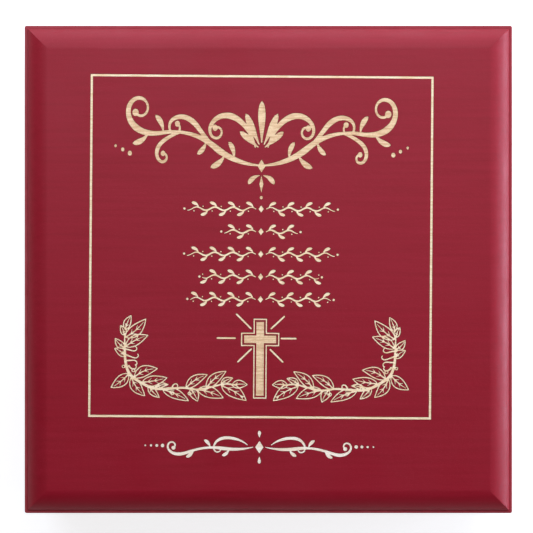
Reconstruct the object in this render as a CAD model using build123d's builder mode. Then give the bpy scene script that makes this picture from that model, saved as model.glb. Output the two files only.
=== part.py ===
"""Square wooden keepsake box with a hinged lid.

The base and the lid are mitred wooden frames of the same plan. The base has a bottom panel in a
rabbet, a felt sheet under it and a velvet lining. The lid has a solid board with a cushion
moulding round its edge and a velvet pad inside. Two brass stop hinges are let into the back.

The origin is the centre of the felt underside. +X is the box's right, +Y its back, where the
hinges are, and +Z is up. All sizes are in millimetres, and the lid is closed.
"""

import os
from math import cos, radians, sin, tan

from build123d import *

# Outside of the box
box_width = 203.2
box_depth = 203.2
corner_radius = 0.8
arris = 0.4

# Wooden frames of the base and the lid
wall_thickness = 9.5
base_height = 50.0
lid_rail_height = 12.0

# Lid board: a flat top, a convex moulding, a small step and a narrow strip at the outside
board_thickness = 13.0
strip_width = 1.35
strip_arris = 0.25
step_depth = 0.6
moulding_width = 8.6
moulding_inner_slope = 7.0
moulding_outer_slope = 54.0

# Bottom panel and the felt under it
bottom_thickness = 4.8
rabbet_width = 4.5
panel_clearance = 0.25
felt_thickness = 1.2
felt_margin = 2.5
felt_corner_radius = 3.0

# Velvet lining: covered card round the walls, a padded floor and a pad in the lid
lining_thickness = 1.8
lining_set_down = 2.5
lining_fold_radius = 0.7
pad_clearance = 0.3
pad_edge_radius = 1.2
floor_pad_edge = 2.6
floor_pad_crown = 1.6
lid_pad_edge = 2.0
lid_pad_crown = 1.2

# Stop hinges
hinge_length = 38.0
hinge_inset = 43.6
leaf_thickness = 2.1
leaf_gap = 0.1
leaf_land = 2.2
leaf_corner_radius = 0.5
barrel_offset = 0.3
barrel_play = 0.15
knuckle_play = 0.25
knuckle_count = 5
knuckle_gap = 0.16
lug_length = 4.0
opening_angle = 100.0
stop_play = 0.3
pin_radius = 0.8
pin_play = 0.05
pin_set_in = 0.3
pin_chamfer = 0.25
gain_play = 0.15

# Brass wood screws
screws_per_leaf = 2
screw_end_margin = 8.5
screw_head_radius = 1.9
screw_shank_radius = 1.0
screw_length = 8.5
screw_tip_chamfer = 0.35
screw_play = 0.05
screw_end_room = 0.5
recess_span = 2.2
recess_width = 0.55
recess_depth = 0.7

# Heights of the main levels
base_bottom = felt_thickness
floor_level = base_bottom + bottom_thickness
rim = base_bottom + base_height
rail_top = rim + lid_rail_height
lid_top = rail_top + board_thickness

# Plan sizes of the frames and their hollow
inner_width = box_width - 2 * wall_thickness
inner_depth = box_depth - 2 * wall_thickness
lined_width = inner_width - 2 * lining_thickness
lined_depth = inner_depth - 2 * lining_thickness
mitre_reach = min(box_width, box_depth) / 2 - corner_radius

# Places and sections of the hinges
axis_y = box_depth / 2 + barrel_offset
hinge_centres = [-box_width / 2 + hinge_inset, box_width / 2 - hinge_inset]
gain_depth = leaf_gap + leaf_thickness
barrel_radius = gain_depth - barrel_play
knuckle_clear = barrel_radius + knuckle_play
leaf_width = wall_thickness + barrel_offset - leaf_land
barrel_length = hinge_length - 2 * lug_length
knuckle_pitch = barrel_length / knuckle_count
stop_angle = radians(opening_angle / 2 + stop_play)

# Places of the screws and their pilot holes
screw_row = (leaf_width + knuckle_clear) / 2
screw_pitch = (hinge_length - 2 * screw_end_margin) / (screws_per_leaf - 1)
pilot_radius = screw_shank_radius + screw_play
pilot_depth = screw_length - leaf_thickness + screw_end_room

# Sides in the order that quarter turns about +Z bring the front to them
sides = ("front", "right", "back", "left")

os.makedirs("parts", exist_ok=True)


def save(part, name):
    """Labels a finished piece and writes its file."""
    part.label = name
    export_step(part, f"parts/{name}.step")


def mitred_side(ring, quarter_turns):
    """One side of a closed rectangular frame, cut off at 45 degrees at both ends."""
    run, across = box_width, box_depth
    if quarter_turns % 2:
        run, across = box_depth, box_width
    with BuildPart() as wall:
        add(ring)
        with BuildSketch(Plane.XY.rotated((0, 0, 90 * quarter_turns))):
            with BuildLine():
                Polyline(
                    (-run / 2, -across / 2),
                    (run / 2, -across / 2),
                    (run / 2 - mitre_reach, -across / 2 + mitre_reach),
                    (-run / 2 + mitre_reach, -across / 2 + mitre_reach),
                    close=True,
                )
            make_face()
        extrude(amount=lid_top, mode=Mode.INTERSECT)
    return wall.part


# Frame of the base: eased at the rim and underneath, rabbeted for the bottom panel
with BuildPart() as base_frame:
    with BuildSketch(Plane.XY.offset(base_bottom)):
        RectangleRounded(box_width, box_depth, corner_radius)
    extrude(amount=base_height)
    bottom_edges = base_frame.faces().sort_by(Axis.Z)[0].edges()
    chamfer(bottom_edges, length=arris)
    with BuildSketch(Plane.XY.offset(base_bottom)):
        Rectangle(inner_width, inner_depth)
    extrude(amount=base_height, mode=Mode.SUBTRACT)
    rim_edges = base_frame.faces().sort_by(Axis.Z)[-1].edges()
    chamfer(rim_edges, length=arris)
    with BuildSketch(Plane.XY.offset(base_bottom)):
        Rectangle(inner_width + 2 * rabbet_width, inner_depth + 2 * rabbet_width)
    extrude(amount=bottom_thickness, mode=Mode.SUBTRACT)
    # Gains for the hinge leaves, open to the rim and to the back face
    with BuildSketch(Plane.XY.offset(rim)):
        with Locations([(x, axis_y) for x in hinge_centres]):
            Rectangle(hinge_length + 2 * gain_play, 2 * (leaf_width + gain_play))
    extrude(amount=-gain_depth, mode=Mode.SUBTRACT)
    with Locations([(x, axis_y - screw_row, rim - gain_depth) for x in hinge_centres]):
        with GridLocations(screw_pitch, 0, screws_per_leaf, 1):
            Hole(radius=pilot_radius, depth=pilot_depth)

# Frame of the lid: eased at the parting line, with gains that face those of the base
with BuildPart() as lid_frame:
    with BuildSketch(Plane.XY.offset(rim)):
        RectangleRounded(box_width, box_depth, corner_radius)
        Rectangle(inner_width, inner_depth, mode=Mode.SUBTRACT)
    extrude(amount=lid_rail_height)
    parting_edges = lid_frame.faces().sort_by(Axis.Z)[0].edges()
    chamfer(parting_edges, length=arris)
    with BuildSketch(Plane.XY.offset(rim)):
        with Locations([(x, axis_y) for x in hinge_centres]):
            Rectangle(hinge_length + 2 * gain_play, 2 * (leaf_width + gain_play))
    extrude(amount=gain_depth, mode=Mode.SUBTRACT)
    with BuildSketch(Plane.XY.offset(rim + gain_depth)):
        with Locations([(x, axis_y - screw_row) for x in hinge_centres]):
            with GridLocations(screw_pitch, 0, screws_per_leaf, 1):
                Circle(pilot_radius)
    extrude(amount=pilot_depth, mode=Mode.SUBTRACT)

# Lining of the walls: velvet folded over card, with soft upper edges
with BuildPart() as wall_lining:
    with BuildSketch(Plane.XY.offset(floor_level)):
        Rectangle(inner_width, inner_depth)
        Rectangle(lined_width, lined_depth, mode=Mode.SUBTRACT)
    extrude(amount=rim - lining_set_down - floor_level)
    folded_edges = wall_lining.faces().sort_by(Axis.Z)[-1].edges()
    fillet(folded_edges, radius=lining_fold_radius)

for quarter_turns, side in enumerate(sides):
    save(mitred_side(base_frame.part, quarter_turns), f"base_{side}_wall")
    save(mitred_side(lid_frame.part, quarter_turns), f"lid_{side}_rail")
    save(mitred_side(wall_lining.part, quarter_turns), f"{side}_lining")


def board_section(span):
    """The lid board's section over its whole span, moulded alike at both edges."""
    inner_angle = radians(moulding_inner_slope)
    outer_angle = radians(moulding_outer_slope)
    middle_angle = (inner_angle + outer_angle) / 2
    curve_radius = moulding_width / (sin(outer_angle) - sin(inner_angle))
    flat_edge = span / 2 - strip_width - moulding_width
    centre_x = flat_edge - curve_radius * sin(inner_angle)
    centre_z = lid_top - curve_radius * cos(inner_angle)
    curve_middle = (
        centre_x + curve_radius * sin(middle_angle),
        centre_z + curve_radius * cos(middle_angle),
    )
    curve_foot = (
        centre_x + curve_radius * sin(outer_angle),
        centre_z + curve_radius * cos(outer_angle),
    )
    strip_level = curve_foot[1] - step_depth
    with BuildSketch() as section:
        with BuildLine():
            ThreePointArc((flat_edge, lid_top), curve_middle, curve_foot)
            Polyline(
                curve_foot,
                (curve_foot[0], strip_level),
                (span / 2, strip_level),
                (span / 2, rail_top),
                (0, rail_top),
                (0, lid_top),
                (flat_edge, lid_top),
            )
        make_face()
        mirror(about=Plane.YZ)
    return section.sketch


# Lid board: the moulded section run both ways, so that the mouldings meet in mitres
with BuildPart() as lid_board:
    with BuildSketch(Plane.XZ):
        add(board_section(box_width))
    extrude(amount=box_depth / 2, both=True)
    with BuildSketch(Plane.YZ):
        add(board_section(box_depth))
    extrude(amount=box_width / 2, both=True, mode=Mode.INTERSECT)
    fillet(lid_board.edges().filter_by(Axis.Z).group_by(Axis.Z)[0], radius=corner_radius)
    strip_face = lid_board.faces().filter_by(Axis.Z).sort_by(Axis.Z)[1]
    chamfer(strip_face.outer_wire().edges(), length=strip_arris)
save(lid_board.part, "lid_board")

# Bottom panel, flush with the underside of the walls
with BuildPart() as bottom_panel:
    with BuildSketch(Plane.XY.offset(base_bottom)):
        Rectangle(
            inner_width + 2 * (rabbet_width - panel_clearance),
            inner_depth + 2 * (rabbet_width - panel_clearance),
        )
    extrude(amount=bottom_thickness)
save(bottom_panel.part, "bottom_panel")

# Felt sheet that the box stands on
with BuildPart() as base_felt:
    with BuildSketch():
        RectangleRounded(
            box_width - 2 * felt_margin,
            box_depth - 2 * felt_margin,
            felt_corner_radius,
        )
    extrude(amount=felt_thickness)
save(base_felt.part, "base_felt")


def pad_section(span, edge_height, crown):
    """A pad's section: upright edges and a low arc over them."""
    with BuildSketch() as section:
        with BuildLine():
            Polyline(
                (-span / 2, edge_height),
                (-span / 2, 0),
                (span / 2, 0),
                (span / 2, edge_height),
            )
            ThreePointArc((span / 2, edge_height), (0, edge_height + crown), (-span / 2, edge_height))
        make_face()
    return section.sketch


def crowned_pad(width, depth, edge_height, crown):
    """A stuffed pad that lies on Z = 0, crowned both ways, with rounded upper edges."""
    with BuildPart() as pad:
        with BuildSketch(Plane.XZ):
            add(pad_section(width, edge_height, crown))
        extrude(amount=depth / 2, both=True)
        with BuildSketch(Plane.YZ):
            add(pad_section(depth, edge_height, crown))
        extrude(amount=width / 2, both=True, mode=Mode.INTERSECT)
        outer_edges = pad.edges() - pad.edges().filter_by(Axis.Z) - pad.edges().group_by(Axis.Z)[0]
        fillet(outer_edges.filter_by(Plane.XZ) + outer_edges.filter_by(Plane.YZ), radius=pad_edge_radius)
    return pad.part


# Pad on the floor of the base, between the wall linings
with BuildPart() as floor_pad:
    with Locations((0, 0, floor_level)):
        add(
            crowned_pad(
                lined_width - 2 * pad_clearance,
                lined_depth - 2 * pad_clearance,
                floor_pad_edge,
                floor_pad_crown,
            )
        )
save(floor_pad.part, "floor_pad")

# Pad under the lid board, between the rails
with BuildPart() as lid_pad:
    with Locations(Location((0, 0, rail_top), (180, 0, 0))):
        add(
            crowned_pad(
                inner_width - 2 * pad_clearance,
                inner_depth - 2 * pad_clearance,
                lid_pad_edge,
                lid_pad_crown,
            )
        )
save(lid_pad.part, "lid_pad")


def hinge_plane(x):
    """Plane square to the hinge axis, with the back of the box as its X and up as its Y."""
    return Plane(origin=(x, axis_y, rim), x_dir=(0, 1, 0), z_dir=(1, 0, 0))


def leaf_face(centre, up):
    """Plane on the inner face of a leaf, over its row of screws, looking out of the leaf."""
    origin = (centre, axis_y - screw_row, rim + up * leaf_gap)
    return Plane(origin=origin, x_dir=(1, 0, 0), z_dir=(0, 0, -up))


def hinge_leaf(centre, up, first_knuckle):
    """A leaf of a stop hinge with every other knuckle; up is 1 in the lid and -1 in the base."""
    near = up * leaf_gap
    far = up * gain_depth
    knuckle_start = centre - barrel_length / 2 + knuckle_gap / 2
    with BuildPart() as leaf:
        with BuildSketch(hinge_plane(centre)):
            with BuildLine():
                Polyline(
                    (-leaf_width, near),
                    (-knuckle_clear, near),
                    (-knuckle_clear, far),
                    (-leaf_width, far),
                    close=True,
                )
            make_face()
        extrude(amount=hinge_length / 2, both=True)
        front_corners = leaf.edges().filter_by(Axis.Z).group_by(Axis.Y)[0]
        fillet(front_corners, radius=leaf_corner_radius)
        # Knuckles, each with the web that joins it to the plate
        for knuckle in range(first_knuckle, knuckle_count, 2):
            with BuildSketch(hinge_plane(knuckle_start + knuckle * knuckle_pitch)):
                Circle(barrel_radius)
                with BuildLine():
                    Polyline(
                        (-knuckle_clear, near),
                        (0, near),
                        (0, up * barrel_radius),
                        (-knuckle_clear, far),
                        close=True,
                    )
                make_face()
            extrude(amount=knuckle_pitch - knuckle_gap)
        # Stop lugs at both ends, whose slanted faces meet those of the other leaf
        for lug_start in (-hinge_length / 2, barrel_length / 2 + knuckle_gap / 2):
            with BuildSketch(hinge_plane(centre + lug_start)):
                with BuildLine():
                    Polyline(
                        (-knuckle_clear, near),
                        (leaf_gap / tan(stop_angle), near),
                        (gain_depth / tan(stop_angle), far),
                        (-knuckle_clear, far),
                        close=True,
                    )
                make_face()
            extrude(amount=lug_length - knuckle_gap / 2)
        with BuildSketch(hinge_plane(centre)):
            Circle(pin_radius + pin_play)
        extrude(amount=hinge_length / 2, both=True, mode=Mode.SUBTRACT)
        with Locations(leaf_face(centre, up)):
            with GridLocations(screw_pitch, 0, screws_per_leaf, 1):
                CounterSinkHole(
                    radius=screw_shank_radius + screw_play,
                    counter_sink_radius=screw_head_radius + screw_play,
                    counter_sink_angle=90,
                )
    return leaf.part


# Wood screw with a countersunk head, pointing down from the middle of its head
with BuildPart() as screw:
    with BuildSketch(Plane.XZ):
        with BuildLine():
            Polyline(
                (0, 0),
                (screw_head_radius, 0),
                (screw_shank_radius, screw_shank_radius - screw_head_radius),
                (screw_shank_radius, screw_tip_chamfer - screw_length),
                (screw_shank_radius - screw_tip_chamfer, -screw_length),
                (0, -screw_length),
                close=True,
            )
        make_face()
    revolve(axis=Axis.Z)
    with BuildSketch():
        Rectangle(recess_span, recess_width)
        Rectangle(recess_width, recess_span)
    extrude(amount=-recess_depth, mode=Mode.SUBTRACT)


def leaf_screws(centre, up):
    """The row of screws that holds one leaf."""
    with BuildPart() as screws:
        with Locations(leaf_face(centre, up)):
            with GridLocations(screw_pitch, 0, screws_per_leaf, 1):
                add(screw.part)
    return screws.part


def hinge_pin(centre):
    """The pin through a hinge's knuckles, with chamfered ends just inside its lugs."""
    with BuildPart() as pin:
        with BuildSketch(hinge_plane(centre)):
            Circle(pin_radius)
        extrude(amount=hinge_length / 2 - pin_set_in, both=True)
        chamfer(pin.edges().filter_by(GeomType.CIRCLE), length=pin_chamfer)
    return pin.part


for hand, centre in zip(("left", "right"), hinge_centres):
    save(hinge_leaf(centre, -1, 0), f"{hand}_hinge_base_leaf")
    save(hinge_leaf(centre, 1, 1), f"{hand}_hinge_lid_leaf")
    save(hinge_pin(centre), f"{hand}_hinge_pin")
    save(leaf_screws(centre, -1), f"{hand}_hinge_base_screws")
    save(leaf_screws(centre, 1), f"{hand}_hinge_lid_screws")
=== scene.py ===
from math import atan2, copysign, cos, hypot, pi, radians, sin

import bmesh
import bpy
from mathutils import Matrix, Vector, noise
from mathutils.geometry import delaunay_2d_cdt, tessellate_polygon


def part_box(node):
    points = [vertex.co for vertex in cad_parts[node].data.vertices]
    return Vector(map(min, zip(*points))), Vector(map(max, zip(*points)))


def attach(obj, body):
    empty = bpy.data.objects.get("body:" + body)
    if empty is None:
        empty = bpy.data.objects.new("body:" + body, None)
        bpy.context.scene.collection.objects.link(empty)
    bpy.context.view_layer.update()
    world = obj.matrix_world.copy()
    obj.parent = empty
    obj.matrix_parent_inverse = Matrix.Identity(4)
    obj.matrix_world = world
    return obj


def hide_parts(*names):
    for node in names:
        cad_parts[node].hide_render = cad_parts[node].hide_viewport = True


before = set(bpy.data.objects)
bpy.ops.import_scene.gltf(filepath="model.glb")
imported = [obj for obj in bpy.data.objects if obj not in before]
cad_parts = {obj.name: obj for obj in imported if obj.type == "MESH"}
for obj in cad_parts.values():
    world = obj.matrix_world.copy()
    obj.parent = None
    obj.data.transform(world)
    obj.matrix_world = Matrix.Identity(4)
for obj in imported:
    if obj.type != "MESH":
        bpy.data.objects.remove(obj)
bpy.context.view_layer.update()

# The scene dresses a square keepsake box. Shapes are worked out in millimetres, in the CAD's frame:
# +X is the box's right, +Y its back and +Z up, and the felt underside lies on Z = 0.
MM = 0.001


def cad_corners(node):
    """The least and greatest corners of a CAD node, in millimetres."""
    return [Vector(corner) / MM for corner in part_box(node)]


def cad_heights(node):
    """The bottom and top of a CAD node, in millimetres."""
    return [corner.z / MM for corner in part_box(node)]


# Plan and section of the lid board, as in the CAD source
HALF = 101.6
CORNER_RADIUS = 0.8
STRIP_WIDTH = 1.35
STRIP_ARRIS = 0.25
STEP_DEPTH = 0.6
MOULDING_WIDTH = 8.6
MOULDING_SLOPES = (54.0, 7.0)
BOARD_BOTTOM, BOARD_TOP = cad_heights("lid_board")

# Softness of the mitres, and the level border between the moulding and the engraved field
MITRE_RADIUS = 0.2
BORDER = 0.5
CORNER_STEPS = 4
MOULDING_STEPS = 20
MERGE_DISTANCE = 0.0005

# The engraving: its depth, how far its walls lean in, the middle of its rule on the board, its
# slight turn, and the scale of all that is drawn below
CUT_DEPTH = 0.15
CUT_LEAN = 0.12
DESIGN_CENTRE = (-3.1, 9.38)
DESIGN_TURN = radians(-0.44)
DESIGN_SCALE = 0.989

# Sharp edges of new pieces, as the angle between two faces
CREASE = radians(38)


# Node materials

def tone(red, green, blue):
    """A colour given in display values from 0 to 255."""
    def linear(value):
        share = value / 255
        return share / 12.92 if share <= 0.04045 else ((share + 0.055) / 1.055) ** 2.4
    return (linear(red), linear(green), linear(blue), 1.0)


class Paint:
    """A node material in the making, on the Principled shader, placed by object coordinates."""

    def __init__(self, name):
        self.material = bpy.data.materials.new(name)
        self.material.use_nodes = True
        self.tree = self.material.node_tree
        self.shader = self.tree.nodes["Principled BSDF"]
        self.place = self.node("ShaderNodeTexCoord").outputs["Object"]

    def put(self, socket, value):
        if isinstance(value, bpy.types.NodeSocket):
            self.tree.links.new(value, socket)
        else:
            socket.default_value = value

    def node(self, kind, inputs=(), **settings):
        made = self.tree.nodes.new(kind)
        for key, value in settings.items():
            setattr(made, key, value)
        for key, value in dict(inputs).items():
            self.put(made.inputs[key], value)
        return made

    def noise(self, scale, detail=2.0, roughness=0.5, stretch=(1, 1, 1), distortion=0.0):
        """Noise with that many cells to the metre, before it is stretched."""
        place = self.node("ShaderNodeMapping", {"Vector": self.place, "Scale": stretch})
        return self.node("ShaderNodeTexNoise", {
            "Vector": place.outputs[0], "Scale": scale, "Detail": detail,
            "Roughness": roughness, "Distortion": distortion,
        }).outputs["Fac"]

    def maths(self, operation, first, second=0.0):
        return self.node("ShaderNodeMath", {0: first, 1: second}, operation=operation).outputs[0]

    def between(self, value, low, high, to_low=0.0, to_high=1.0):
        """The value's place between low and high, on a new scale and held to it."""
        return self.node("ShaderNodeMapRange", {
            "Value": value, "From Min": low, "From Max": high, "To Min": to_low, "To Max": to_high,
        }).outputs[0]

    def mix(self, share, first, second):
        made = self.node("ShaderNodeMix", data_type="RGBA")
        self.put(made.inputs[0], share)
        self.put(made.inputs[6], first)
        self.put(made.inputs[7], second)
        return made.outputs[2]

    def ramp(self, value, *stops):
        """A colour ramp through (place, colour) stops."""
        made = self.node("ShaderNodeValToRGB", {"Fac": value})
        elements = made.color_ramp.elements
        elements[0].position, elements[0].color = stops[0]
        elements[1].position, elements[1].color = stops[-1]
        for place, colour in stops[1:-1]:
            elements.new(place).color = colour
        return made.outputs["Color"]

    def bump(self, height, distance, strength=1.0, under=None):
        """A normal from a height; distance is in metres."""
        made = self.node("ShaderNodeBump", {
            "Height": height, "Distance": distance, "Strength": strength,
        })
        if under is not None:
            self.put(made.inputs["Normal"], under)
        return made.outputs["Normal"]

    def shade(self, **values):
        """Sets sockets of the shader; underscores stand for the spaces in their names."""
        for key, value in values.items():
            self.put(self.shader.inputs[key.replace("_", " ")], value)
        return self.material


# Noise to the metre across the lacquered grain and along it, and how much finer the pores are
GRAIN_ACROSS, GRAIN_ALONG = 460.0, 24.0
PORES_ACROSS, PORES_ALONG = 3.2, 2.2

# Where the lacquer is worn on the upright arrises, and where a pale painted highlight lies along
# the lid's rim, in metres from the box's middle planes and from the ground: each pair is where it
# begins and where it is full. The rim's painted highlight fades as X + Y grows.
POST_WEAR = (0.1008, 0.1016)
RIM_HIGHLIGHT = (0.1002, 0.1006)
RIM_HEIGHT = (0.0696, 0.0704)
RIM_FADE = (-0.09, 0.09)
# How strongly the pale tone shows, both as wear on the arrises and as the rim's painted highlight
WEAR_AND_HIGHLIGHT = 0.2


def lacquer(name, grain_axis):
    """Burgundy satin lacquer on wood whose grain runs along X (0) or Y (1)."""
    paint = Paint(name)
    stretch = [GRAIN_ACROSS] * 3
    pore_stretch = [GRAIN_ACROSS * PORES_ACROSS] * 3
    stretch[grain_axis] = GRAIN_ALONG
    pore_stretch[grain_axis] = GRAIN_ALONG * PORES_ALONG
    grain = paint.noise(1.0, 5.0, 0.62, stretch, 0.15)
    clouds = paint.noise(13.0, 2.0, 0.5)
    specks = paint.noise(2400.0, 1.0)
    body = paint.ramp(
        grain,
        (0.30, tone(132, 6, 25)),
        (0.50, tone(137, 9, 29)),
        (0.72, tone(142, 13, 34)),
    )
    body = paint.mix(paint.between(clouds, 0.3, 0.7, 0.0, 0.35), body, tone(141, 12, 33))
    body = paint.mix(paint.between(specks, 0.58, 0.75, 0.0, 0.22), body, tone(160, 52, 68))
    # The lacquer is rubbed thin and pale along the upright arrises. Along the lid's rim the same
    # pale tone is a painted highlight, strongest at the front left and fading as X + Y grows.
    split = paint.node("ShaderNodeSeparateXYZ", {0: paint.place})
    x, y, z = split.outputs
    far_x, far_y = paint.maths("ABSOLUTE", x), paint.maths("ABSOLUTE", y)
    post = paint.between(paint.maths("MINIMUM", far_x, far_y), *POST_WEAR)
    rim = paint.maths(
        "MULTIPLY",
        paint.between(paint.maths("MAXIMUM", far_x, far_y), *RIM_HIGHLIGHT),
        paint.between(z, *RIM_HEIGHT),
    )
    rim_highlight_share = paint.between(paint.maths("ADD", x, y), *RIM_FADE, 1.0, 0.2)
    rim = paint.maths("MULTIPLY", rim, rim_highlight_share)
    patchy = paint.between(paint.noise(160.0, 3.0), 0.3, 0.6, 0.55, 1.0)
    # One mask carries both: real wear on the arrises and the painted highlight on the rim
    wear_and_highlight = paint.maths("MULTIPLY", paint.maths("MAXIMUM", post, rim), patchy)
    body = paint.mix(paint.maths("MULTIPLY", wear_and_highlight, WEAR_AND_HIGHLIGHT), body, tone(214, 124, 124))
    peel = paint.noise(560.0, 3.0, 0.5)
    pores = paint.noise(1.0, 4.0, 0.7, pore_stretch)
    level = paint.bump(peel, 0.000040)
    level = paint.bump(pores, 0.000020, under=level)
    smudges = paint.noise(34.0, 6.0, 0.72)
    return paint.shade(
        Base_Color=body,
        Roughness=paint.between(smudges, 0.3, 0.7, 0.41, 0.55),
        Normal=level,
        Specular_IOR_Level=0.24,
    )


def bare_wood(name, dark, light):
    """Light wood laid bare by the engraving, with fine grain across the strokes."""
    paint = Paint(name)
    grain = paint.noise(1.0, 4.0, 0.6, (150.0, 2100.0, 600.0), 0.2)
    dots = paint.noise(1900.0, 1.0)
    body = paint.ramp(grain, (0.36, dark), (0.58, light))
    body = paint.mix(paint.between(dots, 0.50, 0.72, 0.0, 0.45), body, dark)
    height = paint.maths("ADD", grain, dots)
    return paint.shade(
        Base_Color=body, Roughness=0.72, Specular_IOR_Level=0.2, Normal=paint.bump(height, 0.00003)
    )


def scorched_edge():
    """The walls of the cut, browned by the tool."""
    paint = Paint("scorched_edge")
    body = paint.ramp(paint.noise(1500.0, 2.0), (0.35, tone(58, 12, 14)), (0.70, tone(100, 36, 28)))
    return paint.shade(Base_Color=body, Roughness=0.8, Specular_IOR_Level=0.1)


def velvet():
    """Black velvet: short pile with brushed patches."""
    paint = Paint("black_velvet")
    brushed = paint.noise(38.0, 3.0, 0.55, (1, 1, 1), 0.8)
    pile = paint.noise(5200.0, 2.0, 0.6)
    body = paint.ramp(brushed, (0.34, tone(16, 15, 18)), (0.66, tone(42, 40, 46)))
    body = paint.mix(paint.between(pile, 0.45, 0.75, 0.0, 0.6), body, tone(58, 56, 62))
    level = paint.bump(pile, 0.00012)
    level = paint.bump(brushed, 0.0006, 0.7, level)
    return paint.shade(
        Base_Color=body, Roughness=0.95, Specular_IOR_Level=0.1, Normal=level,
        Sheen_Weight=0.8, Sheen_Roughness=0.32, Sheen_Tint=tone(200, 198, 210),
    )


def felt():
    """Black felt: matted fibres."""
    paint = Paint("black_felt")
    fibres = paint.noise(1.0, 5.0, 0.75, (1700.0, 900.0, 1300.0), 1.6)
    lint = paint.noise(640.0, 4.0, 0.7, (1, 1, 1), 2.0)
    body = paint.ramp(fibres, (0.36, tone(20, 20, 22)), (0.64, tone(48, 47, 50)))
    thin = paint.noise(55.0, 4.0, 0.65, (1, 1, 1), 0.6)
    body = paint.mix(paint.between(thin, 0.38, 0.68, 0.0, 0.45), body, tone(64, 62, 65))
    body = paint.mix(paint.between(lint, 0.64, 0.70, 0.0, 0.5), body, tone(90, 88, 90))
    level = paint.bump(fibres, 0.0002)
    return paint.shade(
        Base_Color=body, Roughness=1.0, Specular_IOR_Level=0.1,
        Normal=paint.bump(thin, 0.0005, 0.6, level),
        Sheen_Weight=0.25, Sheen_Roughness=0.6,
    )


def brass(name, brushed_along, dark, light, roughness):
    """Brass with fine marks along one axis and a little tarnish."""
    paint = Paint(name)
    across = [5200.0, 5200.0, 5200.0]
    across[brushed_along] = 130.0
    marks = paint.noise(1.0, 3.0, 0.6, across)
    tarnish = paint.noise(210.0, 4.0, 0.6, (1, 1, 1), 0.6)
    body = paint.mix(paint.between(tarnish, 0.45, 0.75, 0.0, 0.8), light, dark)
    return paint.shade(
        Base_Color=body, Metallic=1.0, Normal=paint.bump(marks, 0.000012),
        Roughness=paint.maths("ADD", paint.between(tarnish, 0.3, 0.7, roughness, roughness + 0.08),
                              paint.between(marks, 0.3, 0.7, 0.0, 0.06)),
    )


LACQUER_X = lacquer("burgundy_lacquer_x", 0)
LACQUER_Y = lacquer("burgundy_lacquer_y", 1)
BARE_WOOD = bare_wood("bare_wood", tone(208, 164, 120), tone(242, 210, 166))
FINE_WOOD = bare_wood("bare_wood_fine", tone(238, 200, 152), tone(255, 234, 196))
PALE_WOOD = bare_wood("bare_wood_pale", tone(244, 218, 186), tone(255, 242, 222))
SCORCHED = scorched_edge()
VELVET = velvet()
FELT = felt()
BRASS = brass("brushed_brass", 0, tone(178, 140, 82), tone(216, 182, 120), 0.26)
SCREW_BRASS = brass("screw_brass", 1, tone(186, 148, 90), tone(232, 200, 138), 0.18)


# Meshes

def add_object(name, data):
    made = bpy.data.objects.new(name, data)
    bpy.context.scene.collection.objects.link(made)
    return made


def piece(name, mesh, materials, body, node):
    """A finished mesh in millimetres as a piece that rides on a body and stands for a CAD node."""
    bmesh.ops.scale(mesh, vec=(MM, MM, MM), verts=mesh.verts)
    data = bpy.data.meshes.new(name)
    mesh.to_mesh(data)
    mesh.free()
    for material in materials:
        data.materials.append(material)
    data.shade_smooth()
    data.set_sharp_from_angle(angle=CREASE)
    made = add_object(name, data)
    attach(made, body)
    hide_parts(node)
    return made


def bridge(mesh, lower, upper):
    """Quads between two closed rings of as many vertices, both anticlockwise from above."""
    count = len(lower)
    for i in range(count):
        k = (i + 1) % count
        mesh.faces.new((lower[i], lower[k], upper[k], upper[i]))


def turned(x, y, angle):
    """A point turned about the origin."""
    return (x * cos(angle) - y * sin(angle), x * sin(angle) + y * cos(angle))


def corner_arc(quarter, half, radius, steps):
    """Points round one corner of a rounded square; corners run anticlockwise from back right."""
    sx, sy = ((1, 1), (-1, 1), (-1, -1), (1, -1))[quarter]
    points = []
    for i in range(steps + 1):
        a = pi / 2 * (quarter + i / steps)
        points.append((
            sx * (half - radius) + radius * cos(a),
            sy * (half - radius) + radius * sin(a),
        ))
    return points


# Engraving: each entry is an outer loop, its holes and the material index of its floor
regions = []
WOOD_FLOOR, FINE_FLOOR, PALE_FLOOR, CUT_WALL = 1, 2, 3, 4

# Half the width under which the end of a line isn't rounded, and the share of a blade's length
# that is left out at its centre
THIN_END = 0.12
BLADE_FOOT = 0.16

# Veins of a leaf, as shares of its length: where the first begins, how far the others are spread
# beyond it and how far each runs. Then the share of the leaf's half width that one crosses, the
# least that it may cross in millimetres, and the width from which a leaf has three on each side.
VEIN_START, VEIN_SPREAD, VEIN_RUN = 0.22, 0.5, 0.17
VEIN_CROSS, VEIN_LEAST = 0.62, 0.5
WIDE_LEAF = 3.5


def cut(outer, *holes, floor=WOOD_FLOOR):
    """Engraves the inside of a loop, less its holes."""
    regions.append((list(outer), [list(hole) for hole in holes], floor))


def cut_pair(outer, *holes, floor=WOOD_FLOOR):
    """Engraves a region and its mirror image."""
    cut(outer, *holes, floor=floor)
    cut(*([(-x, y) for x, y in loop] for loop in (outer, *holes)), floor=floor)


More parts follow.
